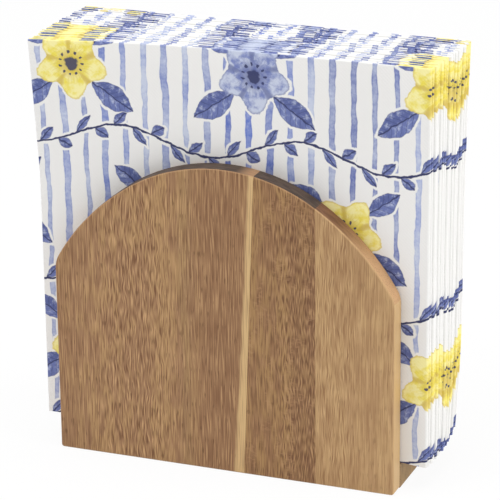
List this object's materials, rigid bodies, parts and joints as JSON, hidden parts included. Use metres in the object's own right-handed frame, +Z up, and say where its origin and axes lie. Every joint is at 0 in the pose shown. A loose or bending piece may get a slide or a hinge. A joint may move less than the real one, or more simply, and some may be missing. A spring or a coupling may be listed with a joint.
{
  "type": "napkin holder",
  "caption": "Upright wooden napkin holder: two arched glued-up panels on a base board, with a stack of folded paper napkins in the slot between them.",
  "frame": {"origin": "middle of the holder's underside, on the surface it stands on", "axes": "+X along the panels' width to the right as seen from the front, +Y from the front panel to the back panel, +Z up"},
  "size_m": [0.1658, 0.063, 0.1745],
  "materials": {
    "stave_brown": "oiled hardwood, reddish brown with darker streaks",
    "stave_dark": "oiled hardwood, dark figured brown",
    "stave_tan": "oiled hardwood, light tan",
    "board_wood": "oiled hardwood, brown",
    "dowel_wood": "plain beech",
    "napkin_paper": "soft embossed tissue, white with a blue and yellow print"
  },
  "bodies": {
    "holder": {"front_stave_left": "stave_brown", "front_stave_middle": "stave_dark", "front_stave_right": "stave_tan", "back_stave_left": "stave_tan", "back_stave_middle": "stave_dark", "back_stave_right": "stave_brown", "base_board": "board_wood", "front_dowels": "dowel_wood", "back_dowels": "dowel_wood"},
    "napkins": {"napkin_01": "napkin_paper", "napkin_02": "napkin_paper", "napkin_03": "napkin_paper", "napkin_04": "napkin_paper", "napkin_05": "napkin_paper", "napkin_06": "napkin_paper", "napkin_07": "napkin_paper", "napkin_08": "napkin_paper", "napkin_09": "napkin_paper", "napkin_10": "napkin_paper", "napkin_11": "napkin_paper", "napkin_12": "napkin_paper", "napkin_13": "napkin_paper", "napkin_14": "napkin_paper", "napkin_15": "napkin_paper", "napkin_16": "napkin_paper", "napkin_17": "napkin_paper", "napkin_18": "napkin_paper", "napkin_19": "napkin_paper", "napkin_20": "napkin_paper", "napkin_21": "napkin_paper", "napkin_22": "napkin_paper", "napkin_23": "napkin_paper", "napkin_24": "napkin_paper"}
  },
  "joints": [
    {"name": "napkins_lift", "type": "slide", "parent": "holder", "child": "napkins", "axis": [0, 0, 1], "range_m": [0, 0.13]}
  ]
}
